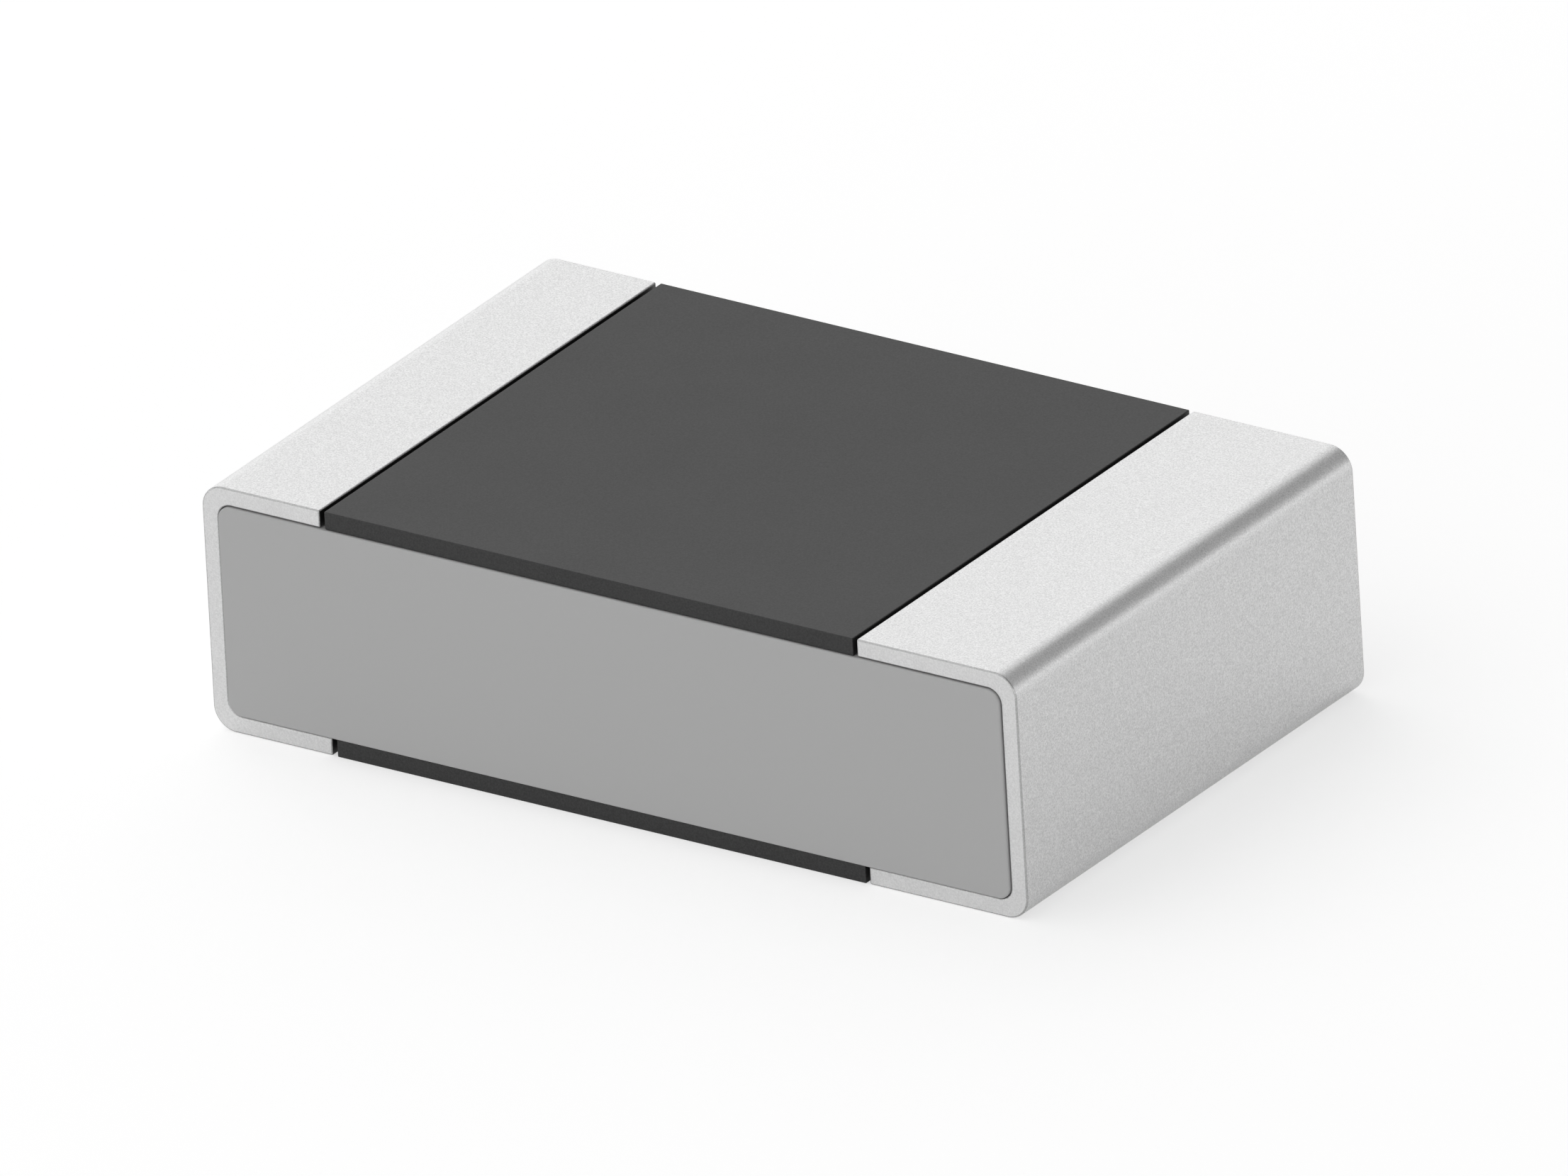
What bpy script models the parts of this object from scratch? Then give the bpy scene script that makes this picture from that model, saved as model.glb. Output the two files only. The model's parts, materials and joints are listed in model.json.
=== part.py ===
"""Surface-mount chip resistor: a ceramic block held by two folded metal terminals, with a dark coat
above and below, and the printed resistor and its contacts sealed in under the top coat.

Metres, +Z up. The origin is at the middle of the underside. X runs along the length, and -Y is the front.
"""

import math

import bmesh
import bpy
from mathutils import Vector

# Overall sizes
LENGTH = 0.00203  # over both terminals
WIDTH = 0.00125  # of the terminals and the coats
HEIGHT = 0.00056  # from under the lower flanges to the top of the upper ones

# Terminals: each is one wall folded round an end of the ceramic
TERMINAL_WALL = 0.00004
LEFT_FLANGE = 0.000295  # length of both flanges of the left terminal, from its end face
RIGHT_FLANGE = 0.000396  # the same for the right terminal
OUTER_BEND = 0.000053  # outer radius of each bend
RIM_ROUND = 0.000004  # rounding of the cut edges of the metal

# Ceramic block
CERAMIC_CORNER = 0.000031  # radius of its long edges, which the bends follow inside
CERAMIC_PROUD = 0.000005  # how far it stands out past the metal, at the front and at the back
CERAMIC_EDGE = 0.000004  # rounding of the rims of its front and back

# Coats
FLANGE_GAP = 0.000006  # open slot between each flange and the coat beside it
COAT_EDGE = 0.000004  # rounding of the edges of a coat

# Contacts printed on the ceramic under the flanges
CONTACT_THICKNESS = 0.000008
CONTACT_MARGIN = 0.0001  # from the front of the terminal in to the side of a contact
CONTACT_END_MARGIN = 0.00001  # from the ceramic's rounded edge in to the end of a contact
UPPER_CONTACT_REACH = 0.00018  # how far an upper contact runs on under the top coat
LOWER_CONTACT_SETBACK = 0.00006  # from the tip of a lower flange back to its contact

# Resistive film, printed between the upper contacts and up over them
FILM_THICKNESS = 0.000008
FILM_MARGIN = 0.00022  # from the front of the terminals in to the side of the film
FILM_LAP = 0.00011  # how far the film lies over each upper contact

# Glass glaze over the film
GLAZE_THICKNESS = 0.000006
GLAZE_SKIRT = 0.00003  # how far the glaze runs on past the film, all round

# Laser cut that trims the film: in from the front side, then along the length
TRIM_KERF = 0.00003
TRIM_FROM_MIDDLE = 0.00016  # from the middle of the length, towards the left terminal
TRIM_IN = 0.0004  # from the film's front side
TRIM_ALONG = 0.00028

SEAT = 0.000001  # clearance between two pieces that touch

# Facets
BEND_SEGMENTS = 6
RIM_SEGMENTS = 2
SHARP_ANGLE = math.radians(35)

# Colour, roughness and metallic value of each finish
FINISHES = {
    "fired_alumina": ((0.36, 0.36, 0.36), 0.65, 0.0),
    "matte_tin": ((0.78, 0.78, 0.78), 0.42, 1.0),
    "dark_overcoat": ((0.05, 0.05, 0.05), 0.6, 0.0),
    "silver_print": ((0.72, 0.71, 0.68), 0.5, 1.0),
    "resistor_print": ((0.03, 0.03, 0.035), 0.45, 0.0),
    "glass_glaze": ((0.2, 0.3, 0.22), 0.12, 0.0),
}

# Places that follow from the sizes
CERAMIC_END = LENGTH / 2 - TERMINAL_WALL - SEAT
CERAMIC_BOTTOM = TERMINAL_WALL + SEAT
CERAMIC_TOP = HEIGHT - TERMINAL_WALL - SEAT
LEFT_TIP = LEFT_FLANGE - LENGTH / 2
RIGHT_TIP = LENGTH / 2 - RIGHT_FLANGE
COAT_LEFT = LEFT_TIP + FLANGE_GAP
COAT_RIGHT = RIGHT_TIP - FLANGE_GAP
CONTACT_OUTER_END = CERAMIC_END - CERAMIC_CORNER - CONTACT_END_MARGIN
CONTACT_HALF_WIDTH = WIDTH / 2 - CONTACT_MARGIN
FILM_LEFT = COAT_LEFT + UPPER_CONTACT_REACH
FILM_RIGHT = COAT_RIGHT - UPPER_CONTACT_REACH
FILM_HALF_WIDTH = WIDTH / 2 - FILM_MARGIN


def clear_scene():
    for obj in list(bpy.data.objects):
        bpy.data.objects.remove(obj, do_unlink=True)


def new_collection(name, for_cutters=False):
    collection = bpy.data.collections.new(name)
    collection.hide_render = for_cutters
    bpy.context.scene.collection.children.link(collection)
    return collection


def finish(name):
    """The material of that name, made when it is first asked for."""
    material = bpy.data.materials.get(name)
    if material is None:
        colour, roughness, metallic = FINISHES[name]
        material = bpy.data.materials.new(name)
        material.use_nodes = True
        shader = material.node_tree.nodes["Principled BSDF"]
        shader.inputs["Base Color"].default_value = (*colour, 1.0)
        shader.inputs["Roughness"].default_value = roughness
        shader.inputs["Metallic"].default_value = metallic
    return material


def add_object(bm, name, collection, material=None):
    """Turns a bmesh into an object. One with no material is a cutter."""
    bmesh.ops.recalc_face_normals(bm, faces=bm.faces)
    mesh = bpy.data.meshes.new(name)
    bm.to_mesh(mesh)
    bm.free()
    mesh.shade_smooth()
    mesh.set_sharp_from_angle(angle=SHARP_ANGLE)
    obj = bpy.data.objects.new(name, mesh)
    collection.objects.link(obj)
    if material is None:
        obj.hide_render = True
        obj.display_type = "WIRE"
    else:
        mesh.materials.append(finish(material))
    return obj


def block(low, high):
    """A box between two opposite corners."""
    low, high = Vector(low), Vector(high)
    bm = bmesh.new()
    bmesh.ops.create_cube(bm, size=1.0)
    bmesh.ops.scale(bm, vec=high - low, verts=bm.verts)
    bmesh.ops.translate(bm, vec=(low + high) / 2, verts=bm.verts)
    return bm


def extruded(outline, push, bends=()):
    """A flat outline of (x, y, z) corners, pushed along a vector. Each bend is (corner number, radius)."""
    bm = bmesh.new()
    corners = [bm.verts.new(point) for point in outline]
    bm.faces.new(corners)
    for number, radius in bends:
        bmesh.ops.bevel(
            bm, geom=[corners[number]], offset=radius, offset_type="OFFSET", segments=BEND_SEGMENTS,
            profile=0.5, affect="VERTICES", material=-1,
        )
    result = bmesh.ops.extrude_face_region(bm, geom=list(bm.faces))
    pushed = [item for item in result["geom"] if isinstance(item, bmesh.types.BMVert)]
    bmesh.ops.translate(bm, vec=push, verts=pushed)
    return bm


def front_to_back(outline, half_width, bends=()):
    """An outline of (x, z) corners, pushed from the front to the back."""
    return extruded([(x, -half_width, z) for x, z in outline], (0, 2 * half_width, 0), bends)


def round_rims(obj, radius):
    """Rounds the sharp edges of an object and leaves the facets of its bends alone."""
    bevel = obj.modifiers.new("Rounded rims", "BEVEL")
    bevel.width = radius
    bevel.segments = RIM_SEGMENTS
    bevel.limit_method = "ANGLE"
    bevel.angle_limit = SHARP_ANGLE


def cut(obj, cutter):
    boolean = obj.modifiers.new(cutter.name, "BOOLEAN")
    boolean.operation = "DIFFERENCE"
    boolean.object = cutter


def add_ceramic(parts):
    """The fired block, with round long edges."""
    half_width = WIDTH / 2 + CERAMIC_PROUD
    bm = block((-CERAMIC_END, -half_width, CERAMIC_BOTTOM), (CERAMIC_END, half_width, CERAMIC_TOP))
    long_edges = [edge for edge in bm.edges if edge.verts[0].co.y * edge.verts[1].co.y < 0]
    bmesh.ops.bevel(
        bm, geom=long_edges, offset=CERAMIC_CORNER, offset_type="OFFSET", segments=BEND_SEGMENTS,
        profile=0.5, affect="EDGES", material=-1,
    )
    obj = add_object(bm, "ceramic_substrate", parts, "fired_alumina")
    round_rims(obj, CERAMIC_EDGE)


def contact_block(side, inner_end, bottom, clearance=0.0):
    """A printed contact, side -1 at the left and 1 at the right. clearance grows it all round."""
    ends = sorted((inner_end - side * clearance, side * (CONTACT_OUTER_END + clearance)))
    half_width = CONTACT_HALF_WIDTH + clearance
    low = (ends[0], -half_width, bottom - clearance)
    high = (ends[1], half_width, bottom + CONTACT_THICKNESS + clearance)
    return block(low, high)


def upper_contact_block(side, clearance=0.0):
    inner_end = FILM_LEFT if side < 0 else FILM_RIGHT
    return contact_block(side, inner_end, CERAMIC_TOP + SEAT, clearance)


def lower_contact_block(side, clearance=0.0):
    inner_end = (LEFT_TIP if side < 0 else RIGHT_TIP) + side * LOWER_CONTACT_SETBACK
    return contact_block(side, inner_end, CERAMIC_BOTTOM - SEAT - CONTACT_THICKNESS, clearance)


def add_terminal_and_contacts(hand, side, flange, parts, cutters):
    """A C-shaped wall, recessed inside over the two contacts that it covers."""
    end = side * LENGTH / 2
    inner_end = end - side * TERMINAL_WALL
    tip = end - side * flange
    upper_inside = HEIGHT - TERMINAL_WALL
    outline = [
        (tip, 0), (end, 0), (end, HEIGHT), (tip, HEIGHT),
        (tip, upper_inside), (inner_end, upper_inside), (inner_end, TERMINAL_WALL), (tip, TERMINAL_WALL),
    ]
    inner_bend = CERAMIC_CORNER + SEAT
    bends = [(1, OUTER_BEND), (2, OUTER_BEND), (5, inner_bend), (6, inner_bend)]
    terminal = add_object(front_to_back(outline, WIDTH / 2, bends), f"{hand}_terminal", parts, "matte_tin")
    round_rims(terminal, RIM_ROUND)
    for level, contact in (("upper", upper_contact_block), ("lower", lower_contact_block)):
        add_object(contact(side), f"{hand}_{level}_contact", parts, "silver_print")
        cut(terminal, add_object(contact(side, SEAT), f"{hand}_{level}_recess", cutters))


def stepped_layer(lap, thickness, half_width, clearance=0.0):
    """A layer on the ceramic whose ends step up over the upper contacts. clearance grows it all round."""
    low = CERAMIC_TOP + SEAT - clearance
    step = CONTACT_THICKNESS + SEAT
    high = low + step
    thick = thickness + 2 * clearance
    left_wall = FILM_LEFT + SEAT - clearance
    right_wall = FILM_RIGHT - SEAT + clearance
    left_end = FILM_LEFT - lap - clearance
    right_end = FILM_RIGHT + lap + clearance
    outline = [
        (left_end, high), (left_wall, high), (left_wall, low),
        (right_wall, low), (right_wall, high), (right_end, high),
        (right_end, high + thick), (right_wall - thick, high + thick), (right_wall - thick - step, low + thick),
        (left_wall + thick + step, low + thick), (left_wall + thick, high + thick), (left_end, high + thick),
    ]
    return front_to_back(outline, half_width + clearance)


def film_layer(clearance=0.0):
    return stepped_layer(FILM_LAP, FILM_THICKNESS, FILM_HALF_WIDTH, clearance)


def glaze_layer(clearance=0.0):
    """The film and the glaze over it as one layer, with the glaze's skirt."""
    thickness = FILM_THICKNESS + SEAT + GLAZE_THICKNESS
    return stepped_layer(FILM_LAP + GLAZE_SKIRT, thickness, FILM_HALF_WIDTH + GLAZE_SKIRT, clearance)


def laser_path():
    """The L-shaped cut, tall enough to pass through the film and the glaze."""
    left = -TRIM_FROM_MIDDLE - TRIM_KERF / 2
    corner = left + TRIM_KERF
    mouth = -WIDTH / 2
    inner = TRIM_IN - FILM_HALF_WIDTH
    outline = [
        (left, mouth), (corner, mouth), (corner, inner - TRIM_KERF),
        (left + TRIM_ALONG, inner - TRIM_KERF), (left + TRIM_ALONG, inner), (left, inner),
    ]
    return extruded([(x, y, CERAMIC_TOP) for x, y in outline], (0, 0, TERMINAL_WALL))


def add_film_and_glaze(parts, cutters):
    """The printed resistor and its glaze, both cut through by the laser."""
    laser = add_object(laser_path(), "laser_path", cutters)
    film = add_object(film_layer(), "resistive_film", parts, "resistor_print")
    cut(film, laser)
    glaze = add_object(glaze_layer(), "glass_glaze", parts, "glass_glaze")
    cut(glaze, add_object(film_layer(SEAT), "film_recess", cutters))
    cut(glaze, laser)


def add_coats(parts, cutters):
    """A slab above, hollowed over what is printed on the ceramic, and a plain one below."""
    for name, bottom in (("top_coat", HEIGHT - TERMINAL_WALL), ("bottom_coat", 0.0)):
        low = (COAT_LEFT, -WIDTH / 2, bottom)
        high = (COAT_RIGHT, WIDTH / 2, bottom + TERMINAL_WALL)
        coat = add_object(block(low, high), name, parts, "dark_overcoat")
        round_rims(coat, COAT_EDGE)
    top_coat = parts.objects["top_coat"]
    cut(top_coat, add_object(glaze_layer(SEAT), "glaze_recess", cutters))
    for hand in ("left", "right"):
        cut(top_coat, cutters.objects[f"{hand}_upper_recess"])


def build():
    clear_scene()
    parts = new_collection("chip_resistor")
    cutters = new_collection("cutters", for_cutters=True)
    add_ceramic(parts)
    add_terminal_and_contacts("left", -1, LEFT_FLANGE, parts, cutters)
    add_terminal_and_contacts("right", 1, RIGHT_FLANGE, parts, cutters)
    add_film_and_glaze(parts, cutters)
    add_coats(parts, cutters)


build()
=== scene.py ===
"""Surface-mount chip resistor: the looks.

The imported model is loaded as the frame. The five pieces that show, which are the ceramic block, the two
folded terminals and the two coats, are modelled finely over their solids. The printed layers keep their
solids and get finishes of their own. The units are metres, +Z is up, and -Y is the front.
"""

import json
import math

import bmesh
import bpy
from bpy.props import FloatProperty, FloatVectorProperty, IntProperty, PointerProperty
from bpy.types import Operator, Panel, PropertyGroup
from mathutils import Matrix, Vector

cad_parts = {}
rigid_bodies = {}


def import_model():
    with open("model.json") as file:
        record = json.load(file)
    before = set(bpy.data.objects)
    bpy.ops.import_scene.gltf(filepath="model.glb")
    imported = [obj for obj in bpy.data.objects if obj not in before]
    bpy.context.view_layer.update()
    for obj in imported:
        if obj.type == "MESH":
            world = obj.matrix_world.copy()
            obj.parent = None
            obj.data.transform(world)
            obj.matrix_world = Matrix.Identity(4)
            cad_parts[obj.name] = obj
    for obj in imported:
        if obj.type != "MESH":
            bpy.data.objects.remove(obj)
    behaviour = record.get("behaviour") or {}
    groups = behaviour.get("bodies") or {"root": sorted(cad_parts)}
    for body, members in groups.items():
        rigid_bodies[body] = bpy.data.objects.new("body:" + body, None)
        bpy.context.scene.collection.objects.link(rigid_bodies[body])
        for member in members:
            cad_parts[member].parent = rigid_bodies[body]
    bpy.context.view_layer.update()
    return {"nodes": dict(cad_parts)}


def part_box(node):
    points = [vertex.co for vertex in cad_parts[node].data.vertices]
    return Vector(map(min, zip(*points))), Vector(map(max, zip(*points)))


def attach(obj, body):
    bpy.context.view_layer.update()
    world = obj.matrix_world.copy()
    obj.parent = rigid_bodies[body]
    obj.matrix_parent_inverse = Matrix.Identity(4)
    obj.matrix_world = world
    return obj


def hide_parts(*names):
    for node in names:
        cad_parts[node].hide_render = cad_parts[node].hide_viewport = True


bl_info = {
    "name": "Chip Resistor",
    "version": (1, 0, 0),
    "blender": (4, 5, 0),
    "location": "View3D > Sidebar > Chip Resistor",
    "description": "Models the pieces of a surface-mount chip resistor, finishes them and lights them",
    "category": "Add Mesh",
}

for leftover in list(bpy.data.objects):
    bpy.data.objects.remove(leftover, do_unlink=True)

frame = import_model()

BODY = "root"

# Places of the pieces, from the frame
CERAMIC_LOW, CERAMIC_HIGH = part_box("ceramic_substrate")
TERMINAL_BOXES = {hand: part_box(f"{hand}_terminal") for hand in ("left", "right")}
COAT_BOXES = {level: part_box(f"{level}_coat") for level in ("top", "bottom")}
WALL = COAT_BOXES["top"][1].z - COAT_BOXES["top"][0].z  # the metal is as thick as the coats
SEAT = CERAMIC_LOW.z - WALL  # clearance between two pieces that touch

# Where an edge turns by more than this, it is a rim and not part of a bend
RIM_ANGLE = math.radians(35)
WELD_DISTANCE = 1e-8

# Patterns are written in millimetres, because one noise can't be set fine enough for metres
MILLIMETRES = 1000.0

SCREEN_PITCH = 0.06  # distance between the marks of the printing screen, in millimetres
CUT_SMOOTHNESS = 0.5  # how much of its grain the metal lacks where it was cut

# Where the painted shade line on a rim starts and where it begins to fade, in shares of the rim's rounding
RIM_SHADE_STARTS = 0.05
RIM_SHADE_FADES = 0.75

# The picture that the camera matches
PHOTO_SIZE = (2212, 1659)
ORIGIN_IN_PHOTO = (1114.9, 1002.5)  # pixel of the middle of the underside

STAGE_REACH = 0.12  # from the middle of the floor to its edge
CAMERA_DISTANCE = 0.02
LAMP_DISTANCE = 0.05


class ResistorSizes(PropertyGroup):
    """Roundings and slots of the pieces. Their boxes come from the frame."""

    outer_bend: FloatProperty(
        name="Outer bend", description="Outer radius of each bend of a terminal",
        default=0.000053, min=0.0, precision=6, subtype="DISTANCE", unit="LENGTH",
    )
    ceramic_corner: FloatProperty(
        name="Ceramic corner",
        description="Radius of the long edges of the ceramic, which the bends follow",
        default=0.000031, min=0.0, precision=6, subtype="DISTANCE", unit="LENGTH",
    )
    metal_rim: FloatProperty(
        name="Metal rim", description="Rounding of the cut edges of the terminals",
        default=0.000004, min=0.0, precision=6, subtype="DISTANCE", unit="LENGTH",
    )
    ceramic_rim: FloatProperty(
        name="Ceramic rim", description="Rounding round the front and the back of the ceramic",
        default=0.000004, min=0.0, precision=6, subtype="DISTANCE", unit="LENGTH",
    )
    coat_rim: FloatProperty(
        name="Coat rim", description="Rounding of the edges of the coats",
        default=0.000002, min=0.0, precision=6, subtype="DISTANCE", unit="LENGTH",
    )
    left_slot: FloatProperty(
        name="Left slot",
        description="Gap between the left flanges and the coats, wider than that of their solids",
        default=0.000012, min=0.0, precision=6, subtype="DISTANCE", unit="LENGTH",
    )
    right_slot: FloatProperty(
        name="Right slot",
        description="Gap between the right flanges and the coats, wider than that of their solids",
        default=0.0000095, min=0.0, precision=7, subtype="DISTANCE", unit="LENGTH",
    )
    bend_steps: IntProperty(name="Bend steps", description="Facets of each bend", default=24, min=2)
    rim_steps: IntProperty(name="Rim steps", description="Facets of each rounded rim", default=4, min=1)


class ResistorFinishes(PropertyGroup):
    """Colours of the six finishes."""

    tin: FloatVectorProperty(
        name="Matte tin", description="Plating of the terminals",
        default=(0.72, 0.72, 0.72), min=0.0, max=1.0, size=3, subtype="COLOR",
    )
    # Painted shade line on the rims of the plating
    rim_shade_tone: FloatProperty(
        name="Rim tone",
        # Brightness of the painted shade line on the front and back rims, as a share of the rest of the
        # plating
        description="Brightness of the plating on the front and back rims, as a share of the rest",
        default=0.62, min=0.0, max=1.0,
    )
    # Painted shade on the faces of the plating in the slots
    slot_shade_tone: FloatProperty(
        name="Slot tone",
        # Brightness of the painted shade on the faces in the slots, as a share of the rest of the plating
        description="Brightness of the plating on the faces in the slots, as a share of the rest",
        default=0.15, min=0.0, max=1.0,
    )
    alumina: FloatVectorProperty(
        name="Fired alumina", description="Ceramic block",
        default=(0.4, 0.4, 0.4), min=0.0, max=1.0, size=3, subtype="COLOR",
    )
    overcoat: FloatVectorProperty(
        name="Dark overcoat", description="Coats above and below the ceramic",
        default=(0.0145, 0.0145, 0.0145), min=0.0, max=1.0, size=3, subtype="COLOR",
    )
    silver: FloatVectorProperty(
        name="Silver print", description="Contacts under the flanges",
        default=(0.72, 0.71, 0.68), min=0.0, max=1.0, size=3, subtype="COLOR",
    )
    resistor: FloatVectorProperty(
        name="Resistor print", description="Printed film under the top coat",
        default=(0.03, 0.03, 0.035), min=0.0, max=1.0, size=3, subtype="COLOR",
    )
    glaze: FloatVectorProperty(
        name="Glass glaze", description="Glass over the film",
        default=(0.2, 0.3, 0.22), min=0.0, max=1.0, size=3, subtype="COLOR",
    )


class StudioSettings(PropertyGroup):
    """Floor, light and view."""

    floor: FloatVectorProperty(
        name="Floor", description="Colour of the floor",
        default=(0.9, 0.9, 0.9), min=0.0, max=1.0, size=3, subtype="COLOR",
    )
    glow: FloatProperty(
        name="Floor glow",
        description="Strength of the white that is mixed into the floor where it is seen",
        default=1.7, min=0.0,
    )
    glow_share: FloatProperty(
        name="Glow share", description="Share of that white in the floor, as the camera sees it",
        default=0.3, min=0.0, max=1.0,
    )
    mirrored_share: FloatProperty(
        name="Mirrored share", description="Share of that white in the floor, as metal and glass show it",
        default=0.12, min=0.0, max=1.0,
    )
    sky: FloatProperty(name="Sky", description="Strength of the sky overhead", default=0.46, min=0.0)
    front_horizon: FloatProperty(
        name="Front horizon", description="Strength of the sky at the horizon in front",
        default=3.85, min=0.0,
    )
    back_horizon: FloatProperty(
        name="Back horizon", description="Strength of the sky at the horizon behind",
        default=1.35, min=0.0,
    )
    haze: FloatProperty(
        name="Haze",
        description="Elevation at which the sky has faded from the horizon's strength to its own",
        default=math.radians(22), min=0.0, subtype="ANGLE",
    )
    azimuth: FloatProperty(
        name="Azimuth", description="Camera's turn from the front towards the right",
        default=math.radians(35.3), subtype="ANGLE",
    )
    elevation: FloatProperty(
        name="Elevation", description="Camera's height above the horizon",
        default=math.radians(25.1), subtype="ANGLE",
    )
    roll: FloatProperty(
        name="Roll", description="Turn of the picture, counter-clockwise",
        default=math.radians(3.24), subtype="ANGLE",
    )
    view_width: FloatProperty(
        name="View width", description="Width that the picture takes in",
        default=0.0032395, min=0.0, precision=6, subtype="DISTANCE", unit="LENGTH",
    )


class Wire:
    """A value in a finish's node tree. Sums, differences and products with it add Math nodes."""

    def __init__(self, finish, socket):
        self.finish = finish
        self.socket = socket

    def calculate(self, operation, first, second):
        return self.finish.node("ShaderNodeMath", {"operation": operation}, {0: first, 1: second})

    def __add__(self, other):
        return self.calculate("ADD", self, other)

    def __sub__(self, other):
        return self.calculate("SUBTRACT", self, other)

    def __rsub__(self, other):
        return self.calculate("SUBTRACT", other, self)

    def __mul__(self, other):
        return self.calculate("MULTIPLY", self, other)

    __radd__ = __add__
    __rmul__ = __mul__


class Finish:
    """The nodes of one material, or of the world."""

    def __init__(self, owner):
        owner.use_nodes = True
        self.owner = owner
        self.tree = owner.node_tree
        self.tree.nodes.clear()

    def node(self, kind, settings, inputs, output=0):
        """Adds a node. Its settings come first, then the values or wires of its sockets."""
        node = self.tree.nodes.new(kind)
        for name, value in settings.items():
            setattr(node, name, value)
        for name, value in inputs.items():
            if isinstance(value, Wire):
                self.tree.links.new(value.socket, node.inputs[name])
            else:
                node.inputs[name].default_value = value
        return Wire(self, node.outputs[output])

    def place(self):
        """The place on the object, in millimetres."""
        metres = self.node("ShaderNodeTexCoord", {}, {}, output="Object")
        return self.node("ShaderNodeVectorMath", {"operation": "SCALE"}, {0: metres, "Scale": MILLIMETRES})

    def noise(self, place, size, detail=0.0):
        """A noise round zero, with lumps of that size in millimetres."""
        lumps = self.node("ShaderNodeTexNoise", {}, {"Vector": place, "Scale": 1 / size, "Detail": detail})
        return lumps - 0.5

    def ramp(self, value, low, high):
        """0 up to the low value and 1 from the high one, with an even rise between them."""
        return self.node("ShaderNodeMapRange", {}, {"Value": value, "From Min": low, "From Max": high})

    def shaded(self, colour, factor):
        """A colour made lighter or darker by a wire."""
        return self.node("ShaderNodeVectorMath", {"operation": "SCALE"}, {0: colour[:], "Scale": factor})

    def bump(self, height, distance):
        """A normal from a height, whose whole range is that distance in metres."""
        return self.node("ShaderNodeBump", {}, {"Height": height, "Distance": distance})

    def output(self, shader, kind="ShaderNodeOutputMaterial"):
        self.tree.links.new(shader.socket, self.tree.nodes.new(kind).inputs["Surface"])


def new_finish(name):
    return Finish(bpy.data.materials.new(name))


def surface(finish, **inputs):
    """Finishes a material with a Principled BSDF. A socket's spaces are written as underscores."""
    finish.output(finish.node("ShaderNodeBsdfPrincipled", {}, {
        name.replace("_", " "): value for name, value in inputs.items()
    }))
    return finish.owner


def cut_faces(finish, place, front, rim):
    """Two masks: one of the front and back faces, and one of the rounded rims round them, which takes a
    painted shade line.
    """
    across = finish.node("ShaderNodeSeparateXYZ", {}, {"Vector": place}, output="Y")
    depth = front * MILLIMETRES - finish.node("ShaderNodeMath", {"operation": "ABSOLUTE"}, {0: across})
    rim = rim * MILLIMETRES
    past_face = finish.ramp(depth, 0, rim * RIM_SHADE_STARTS)
    past_rim = finish.ramp(depth, rim * RIM_SHADE_FADES, rim)
    return 1 - past_face, past_face * (1 - past_rim)


def slot_shade_mask(finish, place, rim):
    """1 on the ends of the flanges, which look into the slots, and 0 elsewhere. It marks where the plating
    gets painted shade.
    """
    along = finish.node("ShaderNodeSeparateXYZ", {}, {"Vector": place}, output="X")
    left, right = TERMINAL_BOXES["left"][1].x * MILLIMETRES, TERMINAL_BOXES["right"][0].x * MILLIMETRES
    fade = rim * MILLIMETRES / 2
    past_left = finish.ramp(along, left - fade, left)
    past_right = finish.ramp(along, right, right + fade)
    return past_left * (1 - past_right)


def matte_tin(colour, rim_shade_tone, slot_shade_tone, rim):
    """Electroplated tin: satin and white, with a fine grain. Cut faces are smoother, and their rims carry a
    painted shade line.
    """
    finish = new_finish("tin_plating")
    place = finish.place()
    # rims marks where the plating's colour gets a painted shade line
    faces, rims = cut_faces(finish, place, TERMINAL_BOXES["left"][1].y, rim)
    grain = finish.noise(place, size=0.0033, detail=1.0) * (1 - faces * CUT_SMOOTHNESS)
    clouds = finish.noise(place, size=0.06)
    # Painted shade in the plating's colour: the rims are darkened to the rim tone, and the faces in the slots
    # to the slot tone
    plating = (1 - rims * (1 - rim_shade_tone)) * (1 - slot_shade_mask(finish, place, rim) * (1 - slot_shade_tone))
    return surface(
        finish,
        Base_Color=finish.shaded(colour, (1 + grain * 0.7 + clouds * 0.02) * plating),
        Metallic=1.0,
        Roughness=0.4 + clouds * 0.06,
        Normal=finish.bump(grain, distance=8e-8),
    )


def fired_alumina(colour):
    """Sintered ceramic: even and matte, with a very faint grain."""
    finish = new_finish("sintered_alumina")
    place = finish.place()
    grain = finish.noise(place, size=0.004, detail=1.0)
    return surface(
        finish,
        Base_Color=finish.shaded(colour, 1 + grain * 0.01),
        Roughness=0.65 + grain * 0.1,
        Specular_IOR_Level=0.2,
        Normal=finish.bump(grain, distance=2e-8),
    )


def dark_overcoat(colour):
    """Cured coat: dark, smooth and matte, levelled with hardly a ripple."""
    finish = new_finish("cured_overcoat")
    place = finish.place()
    filler = finish.noise(place, size=0.0042, detail=1.0)
    ripple = finish.noise(place, size=0.15)
    return surface(
        finish,
        Base_Color=finish.shaded(colour, 1 + filler * 2.4),
        Roughness=0.5 + ripple * 0.02,
        Specular_IOR_Level=0.47,
        Normal=finish.bump(ripple, distance=3e-8),
    )


def screen_marks(finish, place, pitch):
    """The dimples that a printing screen's mesh leaves, from -1 to 1."""
    along, across = (
        finish.node("ShaderNodeSeparateXYZ", {}, {"Vector": place}, output=axis) * (2 * math.pi / pitch)
        for axis in ("X", "Y")
    )
    waves = [finish.node("ShaderNodeMath", {"operation": "SINE"}, {0: angle}) for angle in (along, across)]
    return waves[0] * waves[1]


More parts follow.
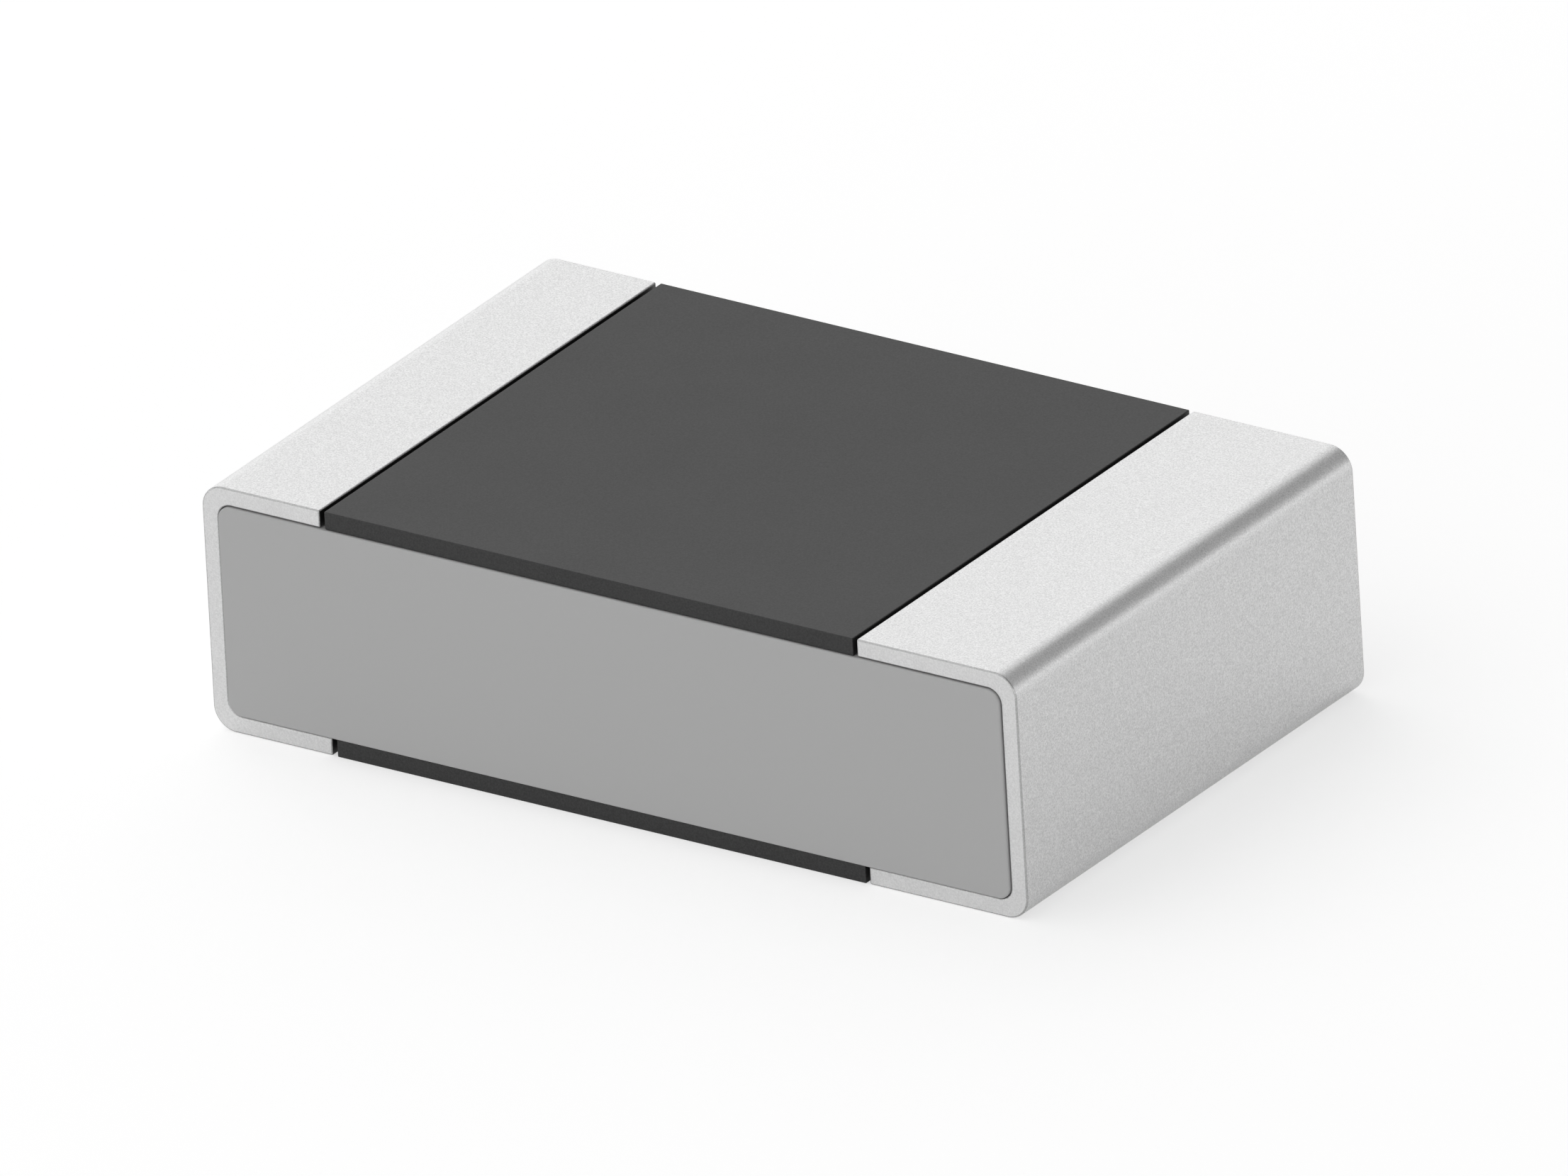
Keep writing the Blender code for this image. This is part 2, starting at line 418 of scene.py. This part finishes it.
def silver_print(colour):
    """Fired silver: pale and grainy, with the screen's marks."""
    finish = new_finish("sintered_silver")
    place = finish.place()
    flakes = finish.noise(place, size=0.004, detail=2.0)
    marks = screen_marks(finish, place, SCREEN_PITCH)
    return surface(
        finish,
        Base_Color=finish.shaded(colour, 1 + flakes * 0.3),
        Metallic=1.0,
        Roughness=0.5 + flakes * 0.3,
        Normal=finish.bump(flakes * 0.3 + marks * 0.5, distance=1e-6),
    )


def resistor_print(colour):
    """Fired resistive ink: nearly black and satin, with the screen's marks and faint grey specks."""
    finish = new_finish("resistive_ink")
    place = finish.place()
    specks = finish.noise(place, size=0.005, detail=2.0)
    marks = screen_marks(finish, place, SCREEN_PITCH)
    return surface(
        finish,
        Base_Color=finish.shaded(colour, 1 + specks * 2.0),
        Roughness=0.45 + specks * 0.3,
        Normal=finish.bump(specks * 0.3 + marks * 0.5, distance=1e-6),
    )


def glass_glaze(colour):
    """Fired glass: glossy and green, with a few bubbles."""
    finish = new_finish("green_glass")
    place = finish.place()
    clouds = finish.noise(place, size=0.08, detail=2.0)
    bubbles = finish.noise(place, size=0.02)
    return surface(
        finish,
        Base_Color=finish.shaded(colour, 1 + clouds * 0.4),
        Roughness=0.12 + clouds * 0.05,
        Normal=finish.bump(bubbles, distance=5e-7),
    )


def block(low, high):
    """A box between two opposite corners."""
    bm = bmesh.new()
    bmesh.ops.create_cube(bm, size=1.0)
    bmesh.ops.scale(bm, vec=high - low, verts=bm.verts)
    bmesh.ops.translate(bm, vec=(low + high) / 2, verts=bm.verts)
    return bm


def round_off(bm, geometry, radius, steps, affect="EDGES"):
    bmesh.ops.bevel(
        bm, geom=geometry, offset=radius, offset_type="OFFSET", segments=steps,
        profile=0.5, affect=affect, material=-1,
    )


def round_rims(bm, radius, steps):
    """Rounds the sharp edges and leaves the facets of the bends alone."""
    rims = [edge for edge in bm.edges if edge.calc_face_angle() > RIM_ANGLE]
    round_off(bm, rims, radius, steps)


def new_piece(bm, name, material, node):
    """Turns a bmesh into the piece that stands for a node of the frame."""
    bmesh.ops.recalc_face_normals(bm, faces=bm.faces)
    mesh = bpy.data.meshes.new(name)
    bm.to_mesh(mesh)
    bm.free()
    mesh.materials.append(material)
    piece = bpy.data.objects.new(name, mesh)
    bpy.context.scene.collection.objects.link(piece)
    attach(piece, BODY)
    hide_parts(node)
    return piece


def grown_copy(node):
    """The solid of a printed layer, closed, and a seat's clearance larger all round."""
    bm = bmesh.new()
    bm.from_mesh(frame["nodes"][node].data)
    bmesh.ops.remove_doubles(bm, verts=bm.verts, dist=WELD_DISTANCE)
    bm.normal_update()
    pushes = [vert.normal * vert.calc_shell_factor() * SEAT for vert in bm.verts]
    for vert, push in zip(bm.verts, pushes):
        vert.co += push
    return bm


def drop_slivers(mesh):
    """Removes the hair-thin faces that a cut can leave."""
    bm = bmesh.new()
    bm.from_mesh(mesh)
    bmesh.ops.dissolve_degenerate(bm, dist=WELD_DISTANCE, edges=bm.edges)
    bm.to_mesh(mesh)
    bm.free()


def make_room(piece, nodes):
    """Hollows a piece over the printed layers that it covers."""
    for node in nodes:
        cutter_mesh = bpy.data.meshes.new("room")
        bm = grown_copy(node)
        bm.to_mesh(cutter_mesh)
        bm.free()
        cutter = bpy.data.objects.new("room", cutter_mesh)
        bpy.context.scene.collection.objects.link(cutter)
        boolean = piece.modifiers.new("Room", "BOOLEAN")
        boolean.operation = "DIFFERENCE"
        boolean.object = cutter
        solid_mesh = piece.data
        cut_piece = piece.evaluated_get(bpy.context.evaluated_depsgraph_get())
        piece.data = bpy.data.meshes.new_from_object(cut_piece)
        piece.modifiers.clear()
        bpy.data.meshes.remove(solid_mesh)
        bpy.data.objects.remove(cutter)
        bpy.data.meshes.remove(cutter_mesh)
    drop_slivers(piece.data)


def smooth(piece):
    """Shades the rounded parts as round and the flat parts as flat: at each corner, the faces that bend
    softly into its own face are averaged by their areas."""
    mesh = piece.data
    around = [[] for _ in mesh.vertices]
    for face in mesh.polygons:
        for vertex in face.vertices:
            around[vertex].append(face)
    normals = []
    for face in mesh.polygons:
        for vertex in face.vertices:
            soft = [near for near in around[vertex] if near.normal.dot(face.normal) > math.cos(RIM_ANGLE)]
            normals.append(sum((near.normal * near.area for near in soft), Vector()).normalized())
    mesh.shade_smooth()
    mesh.normals_split_custom_set(normals)


def model_ceramic(sizes, material):
    """The fired block, with round long edges and finely rounded front and back."""
    bm = block(CERAMIC_LOW, CERAMIC_HIGH)
    long_edges = [edge for edge in bm.edges if edge.verts[0].co.y * edge.verts[1].co.y < 0]
    round_off(bm, long_edges, sizes.ceramic_corner, sizes.bend_steps)
    round_rims(bm, sizes.ceramic_rim, sizes.rim_steps)
    smooth(new_piece(bm, "ceramic_block", material, "ceramic_substrate"))


def model_terminal(hand, sizes, material):
    """One metal wall, folded over and under an end of the ceramic."""
    low, high = TERMINAL_BOXES[hand]
    tip, end = (high.x, low.x) if hand == "left" else (low.x, high.x)
    inner_end = end + math.copysign(WALL, tip - end)
    outline = [
        (tip, low.z), (end, low.z), (end, high.z), (tip, high.z),
        (tip, high.z - WALL), (inner_end, high.z - WALL), (inner_end, low.z + WALL), (tip, low.z + WALL),
    ]
    bm = bmesh.new()
    corners = [bm.verts.new((x, low.y, z)) for x, z in outline]
    bm.faces.new(corners)
    round_off(bm, corners[1:3], sizes.outer_bend, sizes.bend_steps, affect="VERTICES")
    round_off(bm, corners[5:7], sizes.ceramic_corner + SEAT, sizes.bend_steps, affect="VERTICES")
    pushed = bmesh.ops.extrude_face_region(bm, geom=list(bm.faces))["geom"]
    far_side = [item for item in pushed if isinstance(item, bmesh.types.BMVert)]
    bmesh.ops.translate(bm, vec=(0, high.y - low.y, 0), verts=far_side)
    bmesh.ops.recalc_face_normals(bm, faces=bm.faces)
    round_rims(bm, sizes.metal_rim, sizes.rim_steps)
    piece = new_piece(bm, f"{hand}_end_metal", material, f"{hand}_terminal")
    make_room(piece, [f"{hand}_upper_contact", f"{hand}_lower_contact"])
    smooth(piece)


def model_coat(level, covers, sizes, material):
    """A slab that fills the space between the flanges, up to a slot at each end."""
    low, high = (corner.copy() for corner in COAT_BOXES[level])
    low.x = TERMINAL_BOXES["left"][1].x + sizes.left_slot
    high.x = TERMINAL_BOXES["right"][0].x - sizes.right_slot
    bm = block(low, high)
    round_rims(bm, sizes.coat_rim, sizes.rim_steps)
    piece = new_piece(bm, f"{level}_coat_slab", material, f"{level}_coat")
    if covers:
        make_room(piece, covers)
    smooth(piece)


def dress(nodes, material):
    """Gives nodes of the frame a finish."""
    for node in nodes:
        frame["nodes"][node].material_slots[0].material = material


def lamp(name, azimuth, elevation, width, height, brightness):
    """A soft panel lamp that faces the object, azimuth degrees round from the back towards the right and
    elevation degrees up. Its width and height are in shares of its distance, and a brightness of 1 is that
    of white paper in full light."""
    around, up = math.radians(azimuth), math.radians(elevation)
    direction = Vector((math.sin(around) * math.cos(up), math.cos(around) * math.cos(up), math.sin(up)))
    data = bpy.data.lights.new(name, "AREA")
    data.shape = "RECTANGLE"
    data.size = width * LAMP_DISTANCE
    data.size_y = height * LAMP_DISTANCE
    data.energy = brightness * math.pi * data.size * data.size_y
    panel = bpy.data.objects.new(name, data)
    panel.location = direction * LAMP_DISTANCE
    panel.rotation_euler = direction.to_track_quat("Z", "Y").to_euler()
    panel.visible_camera = False
    bpy.context.scene.collection.objects.link(panel)


def add_floor(studio):
    bm = bmesh.new()
    bmesh.ops.create_grid(bm, x_segments=1, y_segments=1, size=STAGE_REACH)
    mesh = bpy.data.meshes.new("floor")
    bm.to_mesh(mesh)
    bm.free()
    finish = new_finish("pale_floor")
    in_view, in_metal, in_glass = (
        finish.node("ShaderNodeLightPath", {}, {}, output=f"Is {kind} Ray")
        for kind in ("Camera", "Glossy", "Transmission")
    )
    share = in_view * studio.glow_share + (in_metal + in_glass) * studio.mirrored_share
    paint = finish.node("ShaderNodeBsdfDiffuse", {}, {"Color": (*studio.floor, 1.0)})
    glow = finish.node("ShaderNodeEmission", {}, {"Strength": studio.glow})
    finish.output(finish.node("ShaderNodeMixShader", {}, {0: share, 1: paint, 2: glow}))
    mesh.materials.append(finish.owner)
    floor = bpy.data.objects.new("floor", mesh)
    bpy.context.scene.collection.objects.link(floor)


def add_sky(studio):
    """An even sky that is paler at the horizon, and most of all in front."""
    world = bpy.data.worlds.new("studio_sky")
    bpy.context.scene.world = world
    finish = Finish(world)
    direction = finish.node("ShaderNodeTexCoord", {}, {}, output="Generated")
    backward, height = (
        finish.node("ShaderNodeSeparateXYZ", {}, {"Vector": direction}, output=axis) for axis in ("Y", "Z")
    )
    horizon = finish.node("ShaderNodeMapRange", {}, {
        "Value": backward, "From Min": -1, "To Min": studio.front_horizon, "To Max": studio.back_horizon,
    })
    strength = finish.node("ShaderNodeMapRange", {"interpolation_type": "SMOOTHSTEP"}, {
        "Value": height, "From Max": math.sin(studio.haze), "To Min": horizon, "To Max": studio.sky,
    })
    finish.output(
        finish.node("ShaderNodeBackground", {}, {"Strength": strength}), "ShaderNodeOutputWorld",
    )


def add_lamps():
    """Two soft panels. The flanges mirror the one at the back left."""
    lamp("back_left_panel", azimuth=-37, elevation=30, width=1.0, height=0.73, brightness=0.72)
    lamp("high_left_panel", azimuth=-120, elevation=62, width=1.8, height=1.2, brightness=0.77)


def add_camera(studio):
    """A parallel view. The middle of the underside falls on the same pixel as in the picture."""
    turn = Matrix.Rotation(studio.azimuth, 3, "Z")
    tilt = Matrix.Rotation(math.pi / 2 - studio.elevation, 3, "X")
    roll = Matrix.Rotation(-studio.roll, 3, "Z")
    axes = turn @ tilt @ roll
    right, up, back = axes.col
    pixel = studio.view_width / PHOTO_SIZE[0]
    aside = (PHOTO_SIZE[0] / 2 - ORIGIN_IN_PHOTO[0]) * pixel
    above = (ORIGIN_IN_PHOTO[1] - PHOTO_SIZE[1] / 2) * pixel
    data = bpy.data.cameras.new("camera")
    data.type = "ORTHO"
    data.ortho_scale = studio.view_width
    data.clip_start = CAMERA_DISTANCE / 10
    data.clip_end = CAMERA_DISTANCE * 10
    camera = bpy.data.objects.new("camera", data)
    camera.location = right * aside + up * above + back * CAMERA_DISTANCE
    camera.rotation_euler = axes.to_euler()
    bpy.context.scene.collection.objects.link(camera)
    bpy.context.scene.camera = camera


class RESISTOR_OT_add_ceramic(Operator):
    """Model the ceramic block"""

    bl_idname = "resistor.add_ceramic"
    bl_label = "Ceramic"

    def execute(self, context):
        scene = context.scene
        model_ceramic(scene.resistor_sizes, fired_alumina(scene.resistor_finishes.alumina))
        return {"FINISHED"}


class RESISTOR_OT_add_terminals(Operator):
    """Model the folded metal terminals"""

    bl_idname = "resistor.add_terminals"
    bl_label = "Terminals"

    def execute(self, context):
        scene = context.scene
        finishes = scene.resistor_finishes
        tin = matte_tin(finishes.tin, finishes.rim_shade_tone, finishes.slot_shade_tone, scene.resistor_sizes.metal_rim)
        for hand in TERMINAL_BOXES:
            model_terminal(hand, scene.resistor_sizes, tin)
        return {"FINISHED"}


class RESISTOR_OT_add_coats(Operator):
    """Model the dark coats above and below the ceramic"""

    bl_idname = "resistor.add_coats"
    bl_label = "Coats"

    def execute(self, context):
        scene = context.scene
        overcoat = dark_overcoat(scene.resistor_finishes.overcoat)
        printed = ["left_upper_contact", "right_upper_contact", "resistive_film", "glass_glaze"]
        model_coat("top", printed, scene.resistor_sizes, overcoat)
        model_coat("bottom", [], scene.resistor_sizes, overcoat)
        return {"FINISHED"}


class RESISTOR_OT_finish_prints(Operator):
    """Finish the contacts, the resistive film and its glaze"""

    bl_idname = "resistor.finish_prints"
    bl_label = "Printed layers"

    def execute(self, context):
        finishes = context.scene.resistor_finishes
        contacts = [f"{hand}_{level}_contact" for hand in ("left", "right") for level in ("upper", "lower")]
        dress(contacts, silver_print(finishes.silver))
        dress(["resistive_film"], resistor_print(finishes.resistor))
        dress(["glass_glaze"], glass_glaze(finishes.glaze))
        return {"FINISHED"}


class RESISTOR_OT_add_stage(Operator):
    """Add the floor, the light and the camera"""

    bl_idname = "resistor.add_stage"
    bl_label = "Stage"

    def execute(self, context):
        studio = context.scene.resistor_studio
        add_floor(studio)
        add_sky(studio)
        add_lamps()
        add_camera(studio)
        context.scene.view_settings.view_transform = "Standard"
        return {"FINISHED"}


OPERATORS = (
    RESISTOR_OT_add_ceramic,
    RESISTOR_OT_add_terminals,
    RESISTOR_OT_add_coats,
    RESISTOR_OT_finish_prints,
    RESISTOR_OT_add_stage,
)


class RESISTOR_PT_sidebar(Panel):
    """The operators and their settings"""

    bl_label = "Chip Resistor"
    bl_idname = "RESISTOR_PT_sidebar"
    bl_space_type = "VIEW_3D"
    bl_region_type = "UI"
    bl_category = "Chip Resistor"

    def draw(self, context):
        scene = context.scene
        for group in (scene.resistor_sizes, scene.resistor_finishes, scene.resistor_studio):
            box = self.layout.box()
            for name in group.__annotations__:
                box.prop(group, name)
        for operator in OPERATORS:
            self.layout.operator(operator.bl_idname)


GROUPS = {
    "resistor_sizes": ResistorSizes,
    "resistor_finishes": ResistorFinishes,
    "resistor_studio": StudioSettings,
}


def register():
    for cls in (*GROUPS.values(), *OPERATORS, RESISTOR_PT_sidebar):
        bpy.utils.register_class(cls)
    for name, group in GROUPS.items():
        setattr(bpy.types.Scene, name, PointerProperty(type=group))


def unregister():
    for name in GROUPS:
        delattr(bpy.types.Scene, name)
    for cls in (RESISTOR_PT_sidebar, *reversed(OPERATORS), *reversed(GROUPS.values())):
        bpy.utils.unregister_class(cls)


def main():
    register()
    bpy.ops.resistor.add_ceramic()
    bpy.ops.resistor.add_terminals()
    bpy.ops.resistor.add_coats()
    bpy.ops.resistor.finish_prints()
    bpy.ops.resistor.add_stage()


if __name__ == "__main__":
    main()
